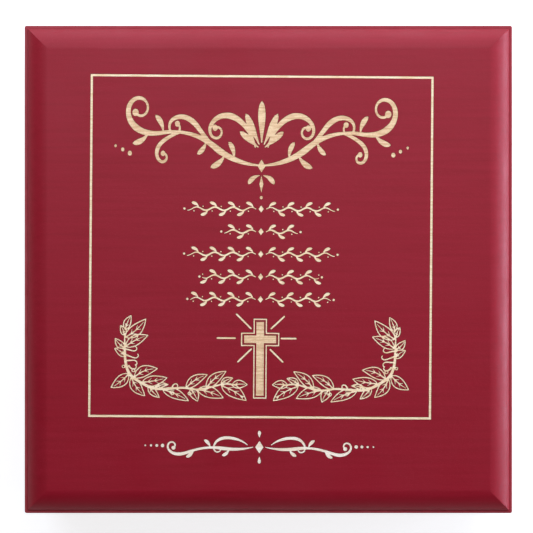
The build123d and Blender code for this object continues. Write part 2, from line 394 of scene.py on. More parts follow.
def ribbon(points, widths):
    """The outline of a line with round ends, whose width runs through the given ones."""
    last = len(points) - 1
    sections = []
    for i, (x, y) in enumerate(points):
        ax, ay = points[max(i - 1, 0)]
        bx, by = points[min(i + 1, last)]
        run = hypot(bx - ax, by - ay)
        place = i / last * (len(widths) - 1)
        k = min(int(place), len(widths) - 2)
        reach = (widths[k] + (widths[k + 1] - widths[k]) * (place - k)) / 2 + CUT_LEAN
        sections.append((x, y, (ay - by) / run, (bx - ax) / run, reach))

    def cap(section, side):
        x, y, nx, ny, reach = section
        if reach < CUT_LEAN + THIN_END:
            return []
        start = atan2(side * ny, side * nx)
        turns = [start - k * pi / 4 for k in (1, 2, 3)]
        return [(x + reach * cos(a), y + reach * sin(a)) for a in turns]

    left = [(x + nx * r, y + ny * r) for x, y, nx, ny, r in sections]
    right = [(x - nx * r, y - ny * r) for x, y, nx, ny, r in reversed(sections)]
    return left + cap(sections[-1], 1) + right + cap(sections[0], -1)


def disc(x, y, radius, sides=14, lean=CUT_LEAN):
    angles = [2 * pi * i / sides for i in range(sides)]
    return [(x + (radius + lean) * cos(a), y + (radius + lean) * sin(a)) for a in angles]


def lozenge(x, y, width, height):
    across, up = width / 2 + 1.5 * CUT_LEAN, height / 2 + 1.5 * CUT_LEAN
    return [(x - across, y), (x, y - up), (x + across, y), (x, y + up)]


def scroll(start, heading, legs, step=0.5):
    """Points of a line whose curvature runs evenly from one value to another on each leg."""
    x, y = start
    angle = radians(heading)
    points = [(x, y)]
    for length, bend_from, bend_to in legs:
        count = max(3, round(length / step))
        for i in range(count):
            turn = (bend_from + (bend_to - bend_from) * (i + 0.5) / count) * length / count
            x += cos(angle + turn / 2) * length / count
            y += sin(angle + turn / 2) * length / count
            angle += turn
            points.append((x, y))
    return points


def volute(start, heading, legs, widths, ball):
    """A scroll that ends in a round drop: its outlines and its line."""
    line = scroll(start, heading, legs)
    return [ribbon(line, widths), disc(*line[-1], ball)], line


def along(base, tip, offset_at, count):
    """Points from base to tip, each pushed to the left of that line by offset_at(share)."""
    (ax, ay), (bx, by) = base, tip
    run = hypot(bx - ax, by - ay)
    nx, ny = (ay - by) / run, (bx - ax) / run
    points = []
    for i in range(count + 1):
        share = i / count
        offset = offset_at(share)
        points.append((ax + (bx - ax) * share + nx * offset, ay + (by - ay) * share + ny * offset))
    return points


def bow(base, tip, bend):
    """How far a bent spine stands to the left of its chord, at each share of it."""
    rise = bend * hypot(tip[0] - base[0], tip[1] - base[1])
    return lambda share: rise * 4 * share * (1 - share)


def petal(base, tip, width, bend=0.0):
    """A filled drop, thickest beyond its middle."""
    spine = along(base, tip, bow(base, tip, bend), 10)
    swell = [0.16 + 0.84 * sin(pi * (0.092 * i + 0.02) ** 1.4) for i in range(10)]
    return ribbon(spine, [width * share for share in swell] + [0.1])


def polar(base, angle, length):
    return (base[0] + cos(radians(angle)) * length, base[1] + sin(radians(angle)) * length)


def blade(centre, angle, length, width, bend=0.0):
    """A petal that stands out from round a centre."""
    foot = polar(centre, angle, length * BLADE_FOOT)
    return petal(foot, polar(centre, angle, length), width, bend)


def sprigs(line, bend, *entries):
    """Petals that stand off a line: each by its place on it, its angle, length and width."""
    return [
        petal(line[place], polar(line[place], angle, length), width, copysign(bend, angle))
        for place, angle, length, width in entries
    ]


def leaf(base, tip, width, bend, line):
    """A pointed leaf in outline, with a midrib and slanting veins."""
    spine = bow(base, tip, bend)

    def half(share):
        return width / 2 * sin(pi * share**0.8) ** 0.9

    def point(share, side):
        return along(base, tip, lambda s: spine(s) + side, 50)[round(50 * share)]

    parts = []
    for side in (1, -1):
        edge = along(base, tip, lambda share: spine(share) + side * half(share), 13)
        parts.append(ribbon(edge, [line * 0.8, line, line, line * 0.9]))
    parts.append(ribbon(along(base, tip, spine, 8)[:8], [line * 1.25, line, line * 0.4]))
    veins = 3 if width > WIDE_LEAF else 2
    for k in range(veins):
        foot = VEIN_START + VEIN_SPREAD * k / (veins - 1)
        reach = VEIN_CROSS * half(min(1.0, foot + 0.16))
        if reach < VEIN_LEAST:
            continue
        for side in (reach, -reach):
            ends = (point(foot, 0), point(foot + VEIN_RUN, side))
            middle = tuple(sum(pair) / 2 for pair in zip(*ends))
            parts.append(ribbon([ends[0], middle, ends[1]], [line * 0.75, line * 0.6, line * 0.3]))
    return parts


def spline(t, a, b, c, d):
    """The value at share t of the way from b to c, on a smooth line from a to d."""
    square_term = (2 * a - 5 * b + 4 * c - d) * t**2
    cube_term = (3 * b - a - 3 * c + d) * t**3
    return (2 * b + (c - a) * t + square_term + cube_term) / 2


def smooth_line(points, per_span=5):
    """A line through all the points without corners."""
    line = []
    last = len(points) - 1
    for i in range(last):
        near = (points[max(i - 1, 0)], points[i], points[i + 1], points[min(i + 2, last)])
        for k in range(per_span):
            line.append(tuple(spline(k / per_span, *values) for values in zip(*near)))
    return line + [points[-1]]


def raised(outline, height, stretch=(1, 1)):
    return [(x * stretch[0], y * stretch[1] + height) for x, y in outline]


# Square rule
RULE_SIDE, RULE_LINE = 142.5, 0.9


def square(side):
    half = side / 2
    return [(-half, -half), (half, -half), (half, half), (-half, half)]


RULE_BAND = RULE_LINE + 2 * CUT_LEAN
cut(square(RULE_SIDE + RULE_BAND), square(RULE_SIDE - RULE_BAND), floor=FINE_FLOOR)

# Cross with an outline round it, and six rays
CROSS_OUTER = {
    "post": 2.8, "bar": 8.0,
    "top": -30.1, "foot": -63.5, "bar_top": -35.95, "bar_foot": -41.55,
}
CROSS_INNER = {
    "post": 1.6, "bar": 6.7,
    "top": -31.45, "foot": -62.3, "bar_top": -37.1, "bar_foot": -40.3,
}
CROSS_LINE = 0.5
RAY_LINE = 0.7
RAYS = (
    ((-17.9, -38.3), (-10.5, -38.3)), ((8.9, -38.3), (14.9, -38.3)),
    ((-9.9, -28.3), (-3.9, -34.2)), ((10.0, -29.1), (4.6, -34.2)),
    ((-3.7, -42.8), (-9.2, -48.1)), ((4.3, -43.0), (9.5, -48.1)),
)


def cross(post, bar, top, foot, bar_top, bar_foot, inset=0.0):
    """A cross from the half widths of post and bar and the heights of their ends."""
    post, bar, top, foot = post - inset, bar - inset, top - inset, foot + inset
    bar_top, bar_foot = bar_top - inset, bar_foot + inset
    right = [
        (post, foot), (post, bar_foot), (bar, bar_foot),
        (bar, bar_top), (post, bar_top), (post, top),
    ]
    return right + [(-x, y) for x, y in reversed(right)]


cut(
    cross(**CROSS_OUTER, inset=-CUT_LEAN), cross(**CROSS_OUTER, inset=CROSS_LINE + CUT_LEAN),
    floor=FINE_FLOOR,
)
cut(cross(**CROSS_INNER, inset=-CUT_LEAN))
for ends in RAYS:
    cut(ribbon(ends, (RAY_LINE, RAY_LINE)), floor=FINE_FLOOR)

# Leafy sprays beside the cross: the left one, and its mirror image
STEM = (
    (-56.7, -36.6), (-56.6, -41.5), (-56.3, -48.2), (-54.7, -53.2), (-51.0, -56.4), (-44.8, -59.4),
    (-39.0, -59.7), (-32.0, -59.2), (-26.0, -59.9), (-19.4, -58.6), (-15.2, -57.5), (-10.6, -57.9),
)
STEM_WIDTHS = (0.3, 1.0, 1.2, 1.1, 0.9, 0.8, 0.7, 0.4)
LEAF_LINE = 0.46
LEAVES = (
    # foot, tip, width and bend to the left
    ((-56.4, -35.0), (-54.1, -29.2), 2.9, 0.05),
    ((-56.4, -38.3), (-47.9, -30.6), 4.6, -0.06),
    ((-56.9, -37.4), (-58.4, -33.4), 2.4, -0.08),
    ((-56.2, -42.1), (-47.0, -37.4), 4.2, 0.05),
    ((-56.7, -42.6), (-60.6, -38.8), 2.8, 0.08),
    ((-56.6, -46.2), (-60.8, -43.0), 3.0, -0.10),
    ((-52.6, -55.0), (-42.9, -51.3), 4.4, 0.10),
    ((-49.2, -57.0), (-38.9, -55.1), 4.2, -0.03),
    ((-54.9, -53.6), (-62.2, -59.3), 4.4, 0.05),
    ((-53.8, -54.8), (-48.1, -62.6), 4.3, -0.08),
    ((-46.6, -58.4), (-42.0, -63.3), 2.8, -0.06),
    ((-43.9, -59.5), (-38.4, -57.9), 1.9, 0.10),
    ((-40.6, -60.0), (-29.8, -64.6), 4.0, 0.04),
    ((-30.9, -59.4), (-22.0, -53.7), 3.9, 0.08),
    ((-28.9, -59.7), (-26.0, -64.7), 3.4, 0.05),
    ((-26.0, -59.9), (-15.3, -63.3), 4.6, 0.05),
    ((-22.4, -59.3), (-14.2, -52.2), 4.0, 0.07),
    ((-16.2, -57.6), (-11.4, -55.0), 2.4, 0.08),
    ((-16.0, -58.3), (-5.7, -64.3), 5.0, 0.06),
    ((-11.6, -57.9), (-5.3, -57.7), 3.3, 0.05),
)
CURLS = (
    # start, heading, legs of the scroll and widths
    ((-56.3, -43.2), -4, ((3.2, -0.2, 0.1), (3.0, 0.5, 1.4)), (0.7, 0.5, 0.45)),
    ((-56.1, -45.6), -16, ((3.6, -0.1, 0.1), (3.0, 0.4, 1.4)), (0.7, 0.5, 0.45)),
    ((-55.9, -48.0), 0, ((3.0, 0.1, -0.1), (3.2, -0.5, -1.3)), (0.7, 0.5, 0.45)),
    ((-54.8, -50.2), -60, ((2.4, 0.3, 0.5), (2.6, 0.9, 1.1)), (0.8, 0.5, 0.45)),
    ((-36.6, -58.9), 70, ((2.0, -0.2, -0.9), (1.6, -1.2, -1.4)), (0.7, 0.5, 0.45)),
)
BERRIES = ((-52.9, -52.0, 0.85), (-57.1, -50.5, 0.7), (-29.4, -61.6, 0.8), (-36.4, -61.5, 0.75))

cut_pair(ribbon(smooth_line(STEM), STEM_WIDTHS), floor=FINE_FLOOR)
for foot, tip, width, bend in LEAVES:
    for outline in leaf(foot, tip, width, bend, LEAF_LINE):
        cut_pair(outline, floor=FINE_FLOOR)
for start, heading, legs, widths in CURLS:
    cut_pair(ribbon(scroll(start, heading, legs, 0.3), widths), floor=FINE_FLOOR)
for x, y, radius in BERRIES:
    cut_pair(disc(x, y, radius), disc(x, y, radius * 0.5, 10, -CUT_LEAN), floor=FINE_FLOOR)

# Scrollwork in the upper part of the field: the right half, and its mirror image
CREST = 47.0
CREST_STRETCH = (1.03, 1.18)
SPRIG_BEND = 0.12


def crest_half():
    parts, main = volute(
        (0.5, -11.0), 2, ((20, 0.03, 0.03), (22, -0.04, -0.03), (15, 0.02, 0.14), (23, 0.14, 0.40)),
        (0.5, 1.6, 2.4, 1.6, 1.0, 1.5, 2.4, 1.8, 0.9, 0.9), 1.3,
    )
    parts += volute(
        (2.6, -4.5), 74, ((12, -0.05, -0.07), (13, -0.09, -0.17), (13, -0.26, -0.62)),
        (0.5, 1.7, 2.2, 1.6, 0.9, 0.8), 1.1,
    )[0]
    parts += volute(
        main[38], 33, ((11, 0.06, -0.01), (11, -0.07, -0.18), (12, -0.27, -0.62)),
        (0.9, 1.5, 2.0, 1.5, 0.8, 0.8), 1.05,
    )[0]
    parts += volute(
        main[70], -16, ((8, -0.03, -0.06), (8, -0.12, -0.35), (6, -0.5, -0.8)),
        (0.8, 1.3, 1.6, 1.1, 0.7), 0.95,
    )[0]
    parts += sprigs(
        main, SPRIG_BEND, (22, 70, 6.5, 1.9), (30, -38, 7.5, 2.1), (48, -52, 6.0, 1.8),
        (84, 62, 7.0, 2.0), (96, -30, 7.5, 2.0),
    )
    parts += [disc(53.5 + 2.9 * k, -7.0 + 1.3 * k, 0.85 - 0.17 * k) for k in range(3)]
    parts += [blade((0, -5.5), 63, 14.5, 2.6), blade((0, -5.5), 36, 11.0, 2.2)]
    return parts + [blade((0, -14.0), -35, 6.5, 1.8, SPRIG_BEND)]


for outline in crest_half():
    cut_pair(raised(outline, CREST, CREST_STRETCH))
for outline in (
    blade((0, -5.5), 90, 17.5, 3.0), lozenge(0, -11.2, 3.2, 4.4),
    lozenge(0, -17.6, 1.5, 6.0), disc(0, -22.4, 0.6),
):
    cut(raised(outline, CREST, CREST_STRETCH))

# Five garlands under it, each given by half its length and its height, with the run of their drops
# along and across, the width and bend of a drop, and the last one's distance from the end
GARLANDS = ((33.0, 15.8), (17.5, 6.3), (33.0, -3.1), (26.5, -12.6), (31.5, -22.0))
GARLAND_WAVE, GARLAND_RISE, GARLAND_START, GARLAND_STEP = 7.6, 0.7, 2.2, 0.45
DROP_RUN, DROP_WIDTH, DROP_BEND, DROP_LAST = (3.2, 1.95), 1.3, 0.14, 2.8


def garland_half(half, y):
    """A wavy stem with drops on both sides, from near the middle out to a dot."""
    reach = half - 2 * GARLAND_START
    count = round(reach / GARLAND_STEP)
    stem = []
    for i in range(count + 1):
        run = reach * i / count
        stem.append((GARLAND_START + run, y + GARLAND_RISE * sin(2 * pi * run / GARLAND_WAVE)))
    parts = [ribbon(stem, (0.35, 0.75, 0.7, 0.7, 0.3)), disc(half - 0.9, y, 0.5, 10)]
    k = 0
    x = GARLAND_START + GARLAND_WAVE / 4
    while x < half - DROP_LAST:
        side = 1 if k % 2 == 0 else -1
        root = (x - 0.9, y + side * GARLAND_RISE * 0.9)
        tip = (root[0] + DROP_RUN[0], root[1] + side * DROP_RUN[1])
        parts.append(petal(root, tip, DROP_WIDTH, side * DROP_BEND))
        parts.append(disc(x + 1.2, y - side * 0.95, 0.3, 8))
        k += 1
        x += GARLAND_WAVE / 2
    return parts


for half, y in GARLANDS:
    cut(lozenge(0, y, 2.1, 2.9), floor=FINE_FLOOR)
    for outline in garland_half(half, y):
        cut_pair(outline, floor=FINE_FLOOR)

# Divider below the rule
DIVIDER = -83.8


def divider_half():
    parts, main = volute(
        (2.6, 0.0), -14, ((14, 0.035, 0.02), (14, -0.05, -0.02), (8, 0.05, 0.25), (8, 0.35, 0.9)),
        (0.3, 1.1, 1.5, 0.9, 1.0, 1.4, 0.8, 0.6), 0.85,
    )
    parts += volute(
        (5.0, 0.9), 40, ((9, -0.09, -0.06), (8, -0.1, -0.3), (5, -0.5, -0.9)),
        (0.3, 1.1, 1.3, 0.7, 0.5), 0.75,
    )[0]
    parts += [disc(40.5 + 2.4 * k, 0.4, 0.75 - 0.13 * k, 12) for k in range(4)]
    return parts + sprigs(
        main, SPRIG_BEND, (20, -42, 4.2, 1.4), (36, 50, 4.2, 1.4), (50, -40, 4.4, 1.4),
    )


for outline in divider_half():
    cut_pair(raised(outline, DIVIDER), floor=PALE_FLOOR)
for outline in (
    lozenge(0, 0, 3.4, 5.2), blade((0, 3.4), 90, 3.6, 1.3), blade((0, -3.4), -90, 3.6, 1.3),
):
    cut(raised(outline, DIVIDER), floor=PALE_FLOOR)


def on_board(point):
    """A point of the design, as it lies on the board."""
    x, y = turned(*(DESIGN_SCALE * value for value in point), DESIGN_TURN)
    return (DESIGN_CENTRE[0] + x, DESIGN_CENTRE[1] + y)


def board_ring(inset, z):
    """The board's outline at that distance inside its edge."""
    radius = max(CORNER_RADIUS - inset, MITRE_RADIUS)
    arcs = [corner_arc(quarter, HALF - inset, radius, CORNER_STEPS) for quarter in range(4)]
    return [(x, y, z) for arc in arcs for x, y in arc]


def board_section():
    """(inset, height) points of the board's edge, from its underside to the level border."""
    outer, inner = (radians(slope) for slope in MOULDING_SLOPES)
    curve_radius = MOULDING_WIDTH / (sin(outer) - sin(inner))
    flat_inset = STRIP_WIDTH + MOULDING_WIDTH
    curve = []
    for i in range(MOULDING_STEPS + 1):
        a = outer + (inner - outer) * i / MOULDING_STEPS
        curve.append((
            flat_inset - curve_radius * (sin(a) - sin(inner)),
            BOARD_TOP - curve_radius * (cos(inner) - cos(a)),
        ))
    strip_z = curve[0][1] - STEP_DEPTH
    eased = [
        (STRIP_ARRIS * (1 - cos(a)), strip_z - STRIP_ARRIS * (1 - sin(a)))
        for a in (0, pi / 6, pi / 3, pi / 2)
    ]
    return [
        (0, BOARD_BOTTOM), *eased, (STRIP_WIDTH, strip_z),
        *curve, (flat_inset + BORDER, BOARD_TOP),
    ]


# Points of the field nearer than this are one, and corners of the cut count as no sharper
SAME_POINT = 1e-5
SHARPEST = 0.7


def signed_area(loop):
    return sum(a[0] * b[1] - b[0] * a[1] for a, b in zip(loop, loop[1:] + loop[:1])) / 2


def add_field(mesh, border):
    """Fills the level field inside a border, with the engraving sunk into it."""
    points, loops, cuts = [], [], {}

    def add_loop(loop):
        if signed_area(loop) < 0:
            loop = loop[::-1]
        loops.append(list(range(len(points), len(points) + len(loop))))
        points.extend(Vector(point) for point in loop)
        return len(loops) - 1

    add_loop([tuple(point[:2]) for point in border])
    for outer, holes, floor in regions:
        cuts[add_loop([on_board(p) for p in outer])] = (
            {add_loop([on_board(p) for p in hole]) for hole in holes}, floor,
        )
    flat, _, triangles, _, _, origins = delaunay_2d_cdt(points, [], loops, 1, SAME_POINT, True)

    floors = []
    for ids in origins:
        found = [cuts[i][1] for i in ids if i in cuts and not cuts[i][0].intersection(ids)]
        floors.append(found[0] if found else 0)
    sides = {}
    for triangle, floor in zip(triangles, floors):
        for side in zip(triangle, triangle[1:] + triangle[:1]):
            sides[side] = floor > 0
    rims = [side for side, sunk in sides.items() if not sunk and sides.get(side[::-1])]
    leans = {}
    for a, b in rims:
        run = flat[b] - flat[a]
        inward = Vector((run.y, -run.x)).normalized()
        for end in (a, b):
            leans.setdefault(end, []).append(inward)

    def lean(index):
        """How far the foot of a wall stands inside its rim, at that point."""
        total = sum(leans.get(index, ()), Vector((0, 0)))
        share = total.length / max(1, len(leans.get(index, ())))
        return total.normalized() * CUT_LEAN / max(share, SHARPEST)

    levels = ({}, {})

    def vertex(index, sunk):
        if index not in levels[sunk]:
            place = flat[index] + lean(index) if sunk else flat[index]
            levels[sunk][index] = mesh.verts.new((*place, BOARD_TOP - CUT_DEPTH * sunk))
        return levels[sunk][index]

    for triangle, floor in zip(triangles, floors):
        face = mesh.faces.new([vertex(i, floor > 0) for i in triangle])
        face.material_index = floor
    for a, b in rims:
        wall = mesh.faces.new((vertex(a, 0), vertex(a, 1), vertex(b, 1), vertex(b, 0)))
        wall.material_index = CUT_WALL


def make_board():
    mesh = bmesh.new()
    rings = []
    for inset, z in board_section():
        rings.append([mesh.verts.new(point) for point in board_ring(inset, z)])
    for lower, upper in zip(rings, rings[1:]):
        bridge(mesh, lower, upper)
    mesh.faces.new(rings[0][::-1])
    add_field(mesh, [vertex.co for vertex in rings[-1]])
    bmesh.ops.remove_doubles(mesh, verts=mesh.verts, dist=MERGE_DISTANCE)
    piece(
        "moulded_lid_board", mesh, (LACQUER_X, BARE_WOOD, FINE_WOOD, PALE_WOOD, SCORCHED),
        "lid", "lid_board",
    )


make_board()

# Velvet lining of the walls
WALL_INNER = 92.1
LINING_THICKNESS = 1.8
LINING_BOTTOM, LINING_TOP = cad_heights("front_lining")
LINING_STEPS, LINING_ROWS, ROLL_STEPS = 110, 14, 8
SIDES = ("front", "right", "back", "left")

# How far the velvet waves and puckers on its card, how often to the millimetre along and up, how
# far it is drawn in so that it stays within the CAD's box, and how steeply all this dies away
# towards the ends
LINING_RIPPLE, LINING_RIPPLES = 0.14, (0.045, 0.11)
LINING_PUCKER, LINING_PUCKERS = 0.05, (0.35, 0.03)
LINING_DRAW = 0.1
LINING_EASE = 12


def wave(x, y, often, seed):
    """Smooth noise from -1 to 1, with that many waves to the millimetre each way."""
    return noise.noise(Vector((x * often[0], y * often[1], seed)))


def lining_section():
    """(distance from the wall, height) points round the covered card, from its outer foot."""
    roll = LINING_THICKNESS / 2
    shoulder = LINING_TOP - roll
    points = [(0, LINING_BOTTOM), (0, shoulder)]
    for i in range(1, ROLL_STEPS):
        a = pi * i / ROLL_STEPS
        points.append((roll - roll * cos(a), shoulder + roll * sin(a)))
    height = shoulder - LINING_BOTTOM
    for i in range(LINING_ROWS + 1):
        points.append((LINING_THICKNESS, shoulder - height * i / LINING_ROWS))
    return points


def make_lining(side, quarter_turns):
    mesh = bmesh.new()
    section = lining_section()
    columns = []
    for i in range(LINING_STEPS + 1):
        share = 2 * i / LINING_STEPS - 1
        column = []
        for depth, z in section:
            x = share * (WALL_INNER - depth)
            ease = min(1.0, (1 - abs(share)) * LINING_EASE) * (depth / LINING_THICKNESS)
            ripple = wave(x, z, LINING_RIPPLES, 7.0 * quarter_turns)
            pucker = wave(x, z, LINING_PUCKERS, 3.0 + quarter_turns)
            push = ease * (LINING_RIPPLE * ripple + LINING_PUCKER * pucker - LINING_DRAW)
            place = turned(x, -WALL_INNER + depth + push, radians(90 * quarter_turns))
            column.append(mesh.verts.new((*place, z)))
        columns.append(column)
    for near, far in zip(columns, columns[1:]):
        bridge(mesh, far, near)
    mesh.faces.new(columns[0])
    mesh.faces.new(columns[-1][::-1])
    bmesh.ops.recalc_face_normals(mesh, faces=mesh.faces)
    piece(f"velvet_{side}_lining", mesh, [VELVET], "base", f"{side}_lining")


for quarter_turns, side in enumerate(SIDES):
    make_lining(side, quarter_turns)


# Velvet pads on the floor and in the lid: corners in plan, rolled edges, how fully and steeply the
# crown rises, ripples and the puckers near the edges, and the limits in height
PAD_STEPS = 84
PAD_CORNER = 2.2
PAD_ROLL = 1.3
CROWN_SHARE, CROWN_POWER = 0.9, 0.6
PAD_WAVE, PAD_RIPPLES, PAD_PUCKERS = 0.1, (0.03, 0.03), (0.16, 0.16)
PUCKER_REACH = 16
PAD_PLAY = 0.02
PAD_LOWEST = 0.3

# The cover of a pad is simulated at ten times its size, at which cloth settles well. Its outer
# rows are held, it is slack near its edges, and no point of it moves by more than the cap.
CLOTH_SCALE = 10 * MM
CLOTH_FRAMES = 20
CLOTH_SLACK = 0.06
SLACK_REACH = 30.0
CLOTH_PRESSURE = 1.6
HELD_ROWS = 4
FOAM_HOLD = 0.25
CLOTH_CAP = 1.0
CLOTH_SETTINGS = {
    "quality": 5, "mass": 0.15, "air_damping": 2.0, "bending_stiffness": 0.02,
    "tension_stiffness": 12.0, "compression_stiffness": 12.0, "shear_stiffness": 6.0,
    "vertex_group_mass": "held", "vertex_group_shrink": "slack",
    "shrink_min": 0.0, "shrink_max": -CLOTH_SLACK,
    "use_pressure": True, "uniform_pressure_force": CLOTH_PRESSURE,
}


def settle(grid, half):
    """How far each point of a pad's cover moves when the cover is let go over its padding.

    Along its edges the cover is held, and is cut a little too large; the padding pushes it up."""
    width = len(grid)
    data = bpy.data.meshes.new("cover")
    data.from_pydata(
        [Vector(point) * CLOTH_SCALE for row in grid for point in row], [],
        [
            (j * width + i, j * width + i + 1, (j + 1) * width + i + 1, (j + 1) * width + i)
            for j in range(width - 1) for i in range(width - 1)
        ],
    )
    cover = add_object("cover", data)
    held, slack = (cover.vertex_groups.new(name=name) for name in ("held", "slack"))
    for j, row in enumerate(grid):
        for i, (x, y, _) in enumerate(row):
            rim = min(i, j, width - 1 - i, width - 1 - j)
            margin = half - max(abs(x), abs(y))
            held.add([j * width + i], 1.0 if rim < HELD_ROWS else FOAM_HOLD, "REPLACE")
            slack.add([j * width + i], max(0.0, 1 - margin / SLACK_REACH), "REPLACE")
    cloth = cover.modifiers.new("cloth", "CLOTH")
    cloth.point_cache.frame_end = CLOTH_FRAMES
    for key, value in CLOTH_SETTINGS.items():
        setattr(cloth.settings, key, value)
    cloth.settings.effector_weights.gravity = 0
    scene = bpy.context.scene
    for number in range(1, CLOTH_FRAMES + 1):
        scene.frame_set(number)
    settled = cover.evaluated_get(bpy.context.evaluated_depsgraph_get()).data
    moves = [
        (after.co - before.co) / CLOTH_SCALE
        for after, before in zip(settled.vertices, data.vertices)
    ]
    scene.frame_set(1)
    bpy.data.objects.remove(cover)
    bpy.data.meshes.remove(data)
    return [moves[j * width:(j + 1) * width] for j in range(width)]


def make_pad(name, node, body, up, edge, crown, seed):
    """A thin stuffed pad, crowned in the middle and drawn in along its edges."""
    low, high = cad_corners(node)
    half = (high.x - low.x) / 2
    back = low.z if up > 0 else high.z
    mesh = bmesh.new()
    grid = []
    for j in range(PAD_STEPS + 1):
        row = []
        for i in range(PAD_STEPS + 1):
            # Points stand closer towards the edges, and the corners are rounded in plan
            s, t = (2 * k / PAD_STEPS - 1 for k in (i, j))
            s, t = (v * (1.5 - 0.5 * v * v) for v in (s, t))
            x, y = s * half, t * half
            cx, cy = (max(0.0, abs(v) - (half - PAD_CORNER)) for v in (x, y))
            reach = hypot(cx, cy)
            if cx and cy:
                pull = max(cx, cy) / reach
                x -= (1 - pull) * cx * (1 if x > 0 else -1)
                y -= (1 - pull) * cy * (1 if y > 0 else -1)
            margin = min(half - abs(x), half - abs(y), PAD_CORNER - min(reach, PAD_CORNER) + 1e-6)
            rounding = PAD_ROLL - (PAD_ROLL**2 - max(0.0, PAD_ROLL - margin) ** 2) ** 0.5
            rise = (1 - s**4) * (1 - t**4)
            ripple = wave(x, y, PAD_RIPPLES, seed)
            near_edge = max(0.0, 1 - margin / PUCKER_REACH)
            pucker = wave(x, y, PAD_PUCKERS, seed + 5) * near_edge
            z = edge + crown * rise**CROWN_POWER * CROWN_SHARE - rounding
            z = z + PAD_WAVE * ripple * rise + PAD_WAVE * pucker * rise - PAD_PLAY
            row.append((x, y, max(z, PAD_LOWEST)))
        grid.append(row)
    moves = settle(grid, half)
    top = high.z - low.z - PAD_PLAY
    for j, row in enumerate(grid):
        for i, (x, y, z) in enumerate(row):
            if moves:
                dx, dy, dz = (max(-CLOTH_CAP, min(CLOTH_CAP, part)) for part in moves[j][i])
                x, y, z = x + dx, y + dy, max(PAD_LOWEST, min(top, z + dz))
            row[i] = mesh.verts.new((x, y * up, back + up * z))
    for a, b in zip(grid, grid[1:]):
        for i in range(PAD_STEPS):
            mesh.faces.new((a[i], a[i + 1], b[i + 1], b[i]))
    rim = grid[0][:-1] + [row[-1] for row in grid[:-1]]
    rim += grid[-1][:0:-1] + [row[0] for row in grid[:0:-1]]
    foot = [mesh.verts.new((v.co.x, v.co.y, back)) for v in rim]
    bridge(mesh, foot, rim)
    mesh.faces.new(foot[::-1])
    bmesh.ops.recalc_face_normals(mesh, faces=mesh.faces)
    made = piece(name, mesh, [VELVET], body, node)


make_pad("velvet_floor_pad", "floor_pad", "base", 1, 2.6, 0.7, 1.0)
make_pad("velvet_lid_pad", "lid_pad", "lid", -1, 2.0, 0.4, 9.0)


# Felt sheet under the box, with (inset, height) points of its edge and how far this frays
FELT_CORNER, FELT_CORNER_STEPS, FELT_SPACING = 3.0, 8, 1.6
FELT_TOP = 1.2
FELT_EDGE = ((0.5, 0.0), (0.12, 0.08), (0.0, 0.35), (0.05, 0.8), (0.15, 1.12), (0.5, FELT_TOP))
FELT_FRAY, FELT_FRAYS = 0.07, (0.9, 0.9)


def make_felt():
    low, high = cad_corners("base_felt")
    half = high.x
    run = 2 * (half - FELT_CORNER)
    steps = round(run / FELT_SPACING)
    outline = []
    for quarter, (dx, dy) in enumerate(((-1, 0), (0, -1), (1, 0), (0, 1))):
        outline += corner_arc(quarter, half, FELT_CORNER, FELT_CORNER_STEPS)
        ax, ay = outline[-1]
        for k in range(1, steps):
            outline.append((ax + dx * run * k / steps, ay + dy * run * k / steps))
    mesh = bmesh.new()
    rings = []
    for inset, z in FELT_EDGE:
        ring = []
        for x, y in outline:
            fray = FELT_FRAY * (1 + wave(x, y, FELT_FRAYS, z * 3))
            fray *= 0.0 < z < FELT_TOP
            share = 1 - (inset + fray) / half
            ring.append(mesh.verts.new((x * share, y * share, low.z + z)))
        rings.append(ring)
    for lower, upper in zip(rings, rings[1:]):
        bridge(mesh, lower, upper)
    mesh.faces.new(rings[0][::-1])
    mesh.faces.new(rings[-1])
    made = piece("felt_sheet", mesh, [FELT], "base", "base_felt")


make_felt()


# Wood screws with a cross in the head
HEAD_RADIUS, SHANK_RADIUS, TIP_RADIUS = 1.9, 1.0, 0.1
HEAD_EASE = 0.12
CROSS_DEPTH, CROSS_ARM, CROSS_HALF = 0.75, 1.05, 0.24
CROSS_ARM_TAPER, CROSS_HALF_TAPER = 0.55, 0.8
SCREW_SIDES = 32
THREAD_PITCH, THREAD_DEPTH = 0.9, 0.22


